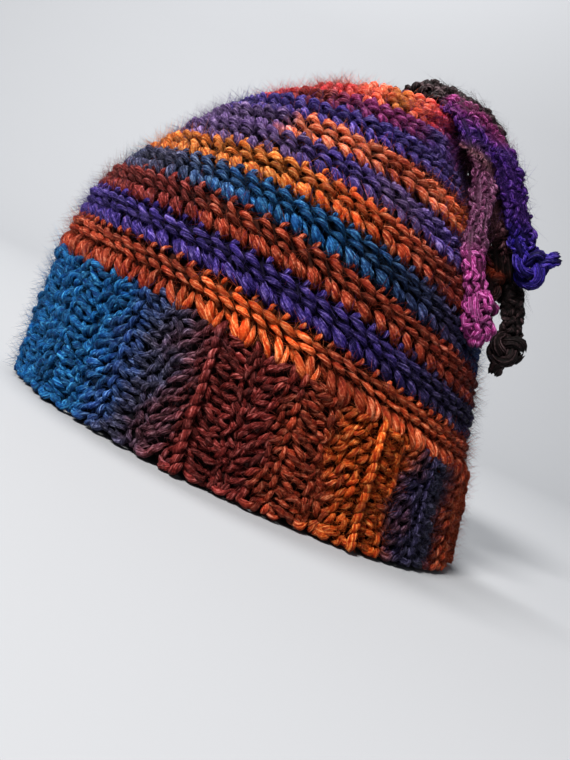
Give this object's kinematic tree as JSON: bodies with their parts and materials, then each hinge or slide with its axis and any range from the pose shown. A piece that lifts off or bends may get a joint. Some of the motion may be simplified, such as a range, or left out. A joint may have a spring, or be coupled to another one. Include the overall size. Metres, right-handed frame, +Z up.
{
  "type": "crochet hat",
  "caption": "Dome-shaped crochet hat with a ribbed band, a striped crown worked in rounds, and knotted tails hanging from the drawn-in top.",
  "frame": {"origin": "middle of the hat's box, on the plane that its rim stands on", "axes": "+Z up from the rim to the crown's top, -Y towards the forehead, +X towards the wearer's left"},
  "size_m": [0.1744, 0.2166, 0.1983],
  "materials": {
    "band_yarn": "bulky wool and silk roving yarn, soft sheen",
    "crown_yarn": "bulky wool and silk roving yarn, soft sheen",
    "dark_yarn": "bulky wool and silk roving yarn, soft sheen",
    "violet_yarn": "bulky wool and silk roving yarn, soft sheen",
    "pink_yarn": "bulky wool and silk roving yarn, soft sheen",
    "mauve_yarn": "bulky wool and silk roving yarn, soft sheen"
  },
  "bodies": {
    "root": {"band": "band_yarn", "crown": "crown_yarn", "gather": "dark_yarn", "tail_violet": "violet_yarn", "tail_black": "dark_yarn", "tail_pink": "pink_yarn", "tail_mauve": "mauve_yarn"}
  },
  "joints": []
}
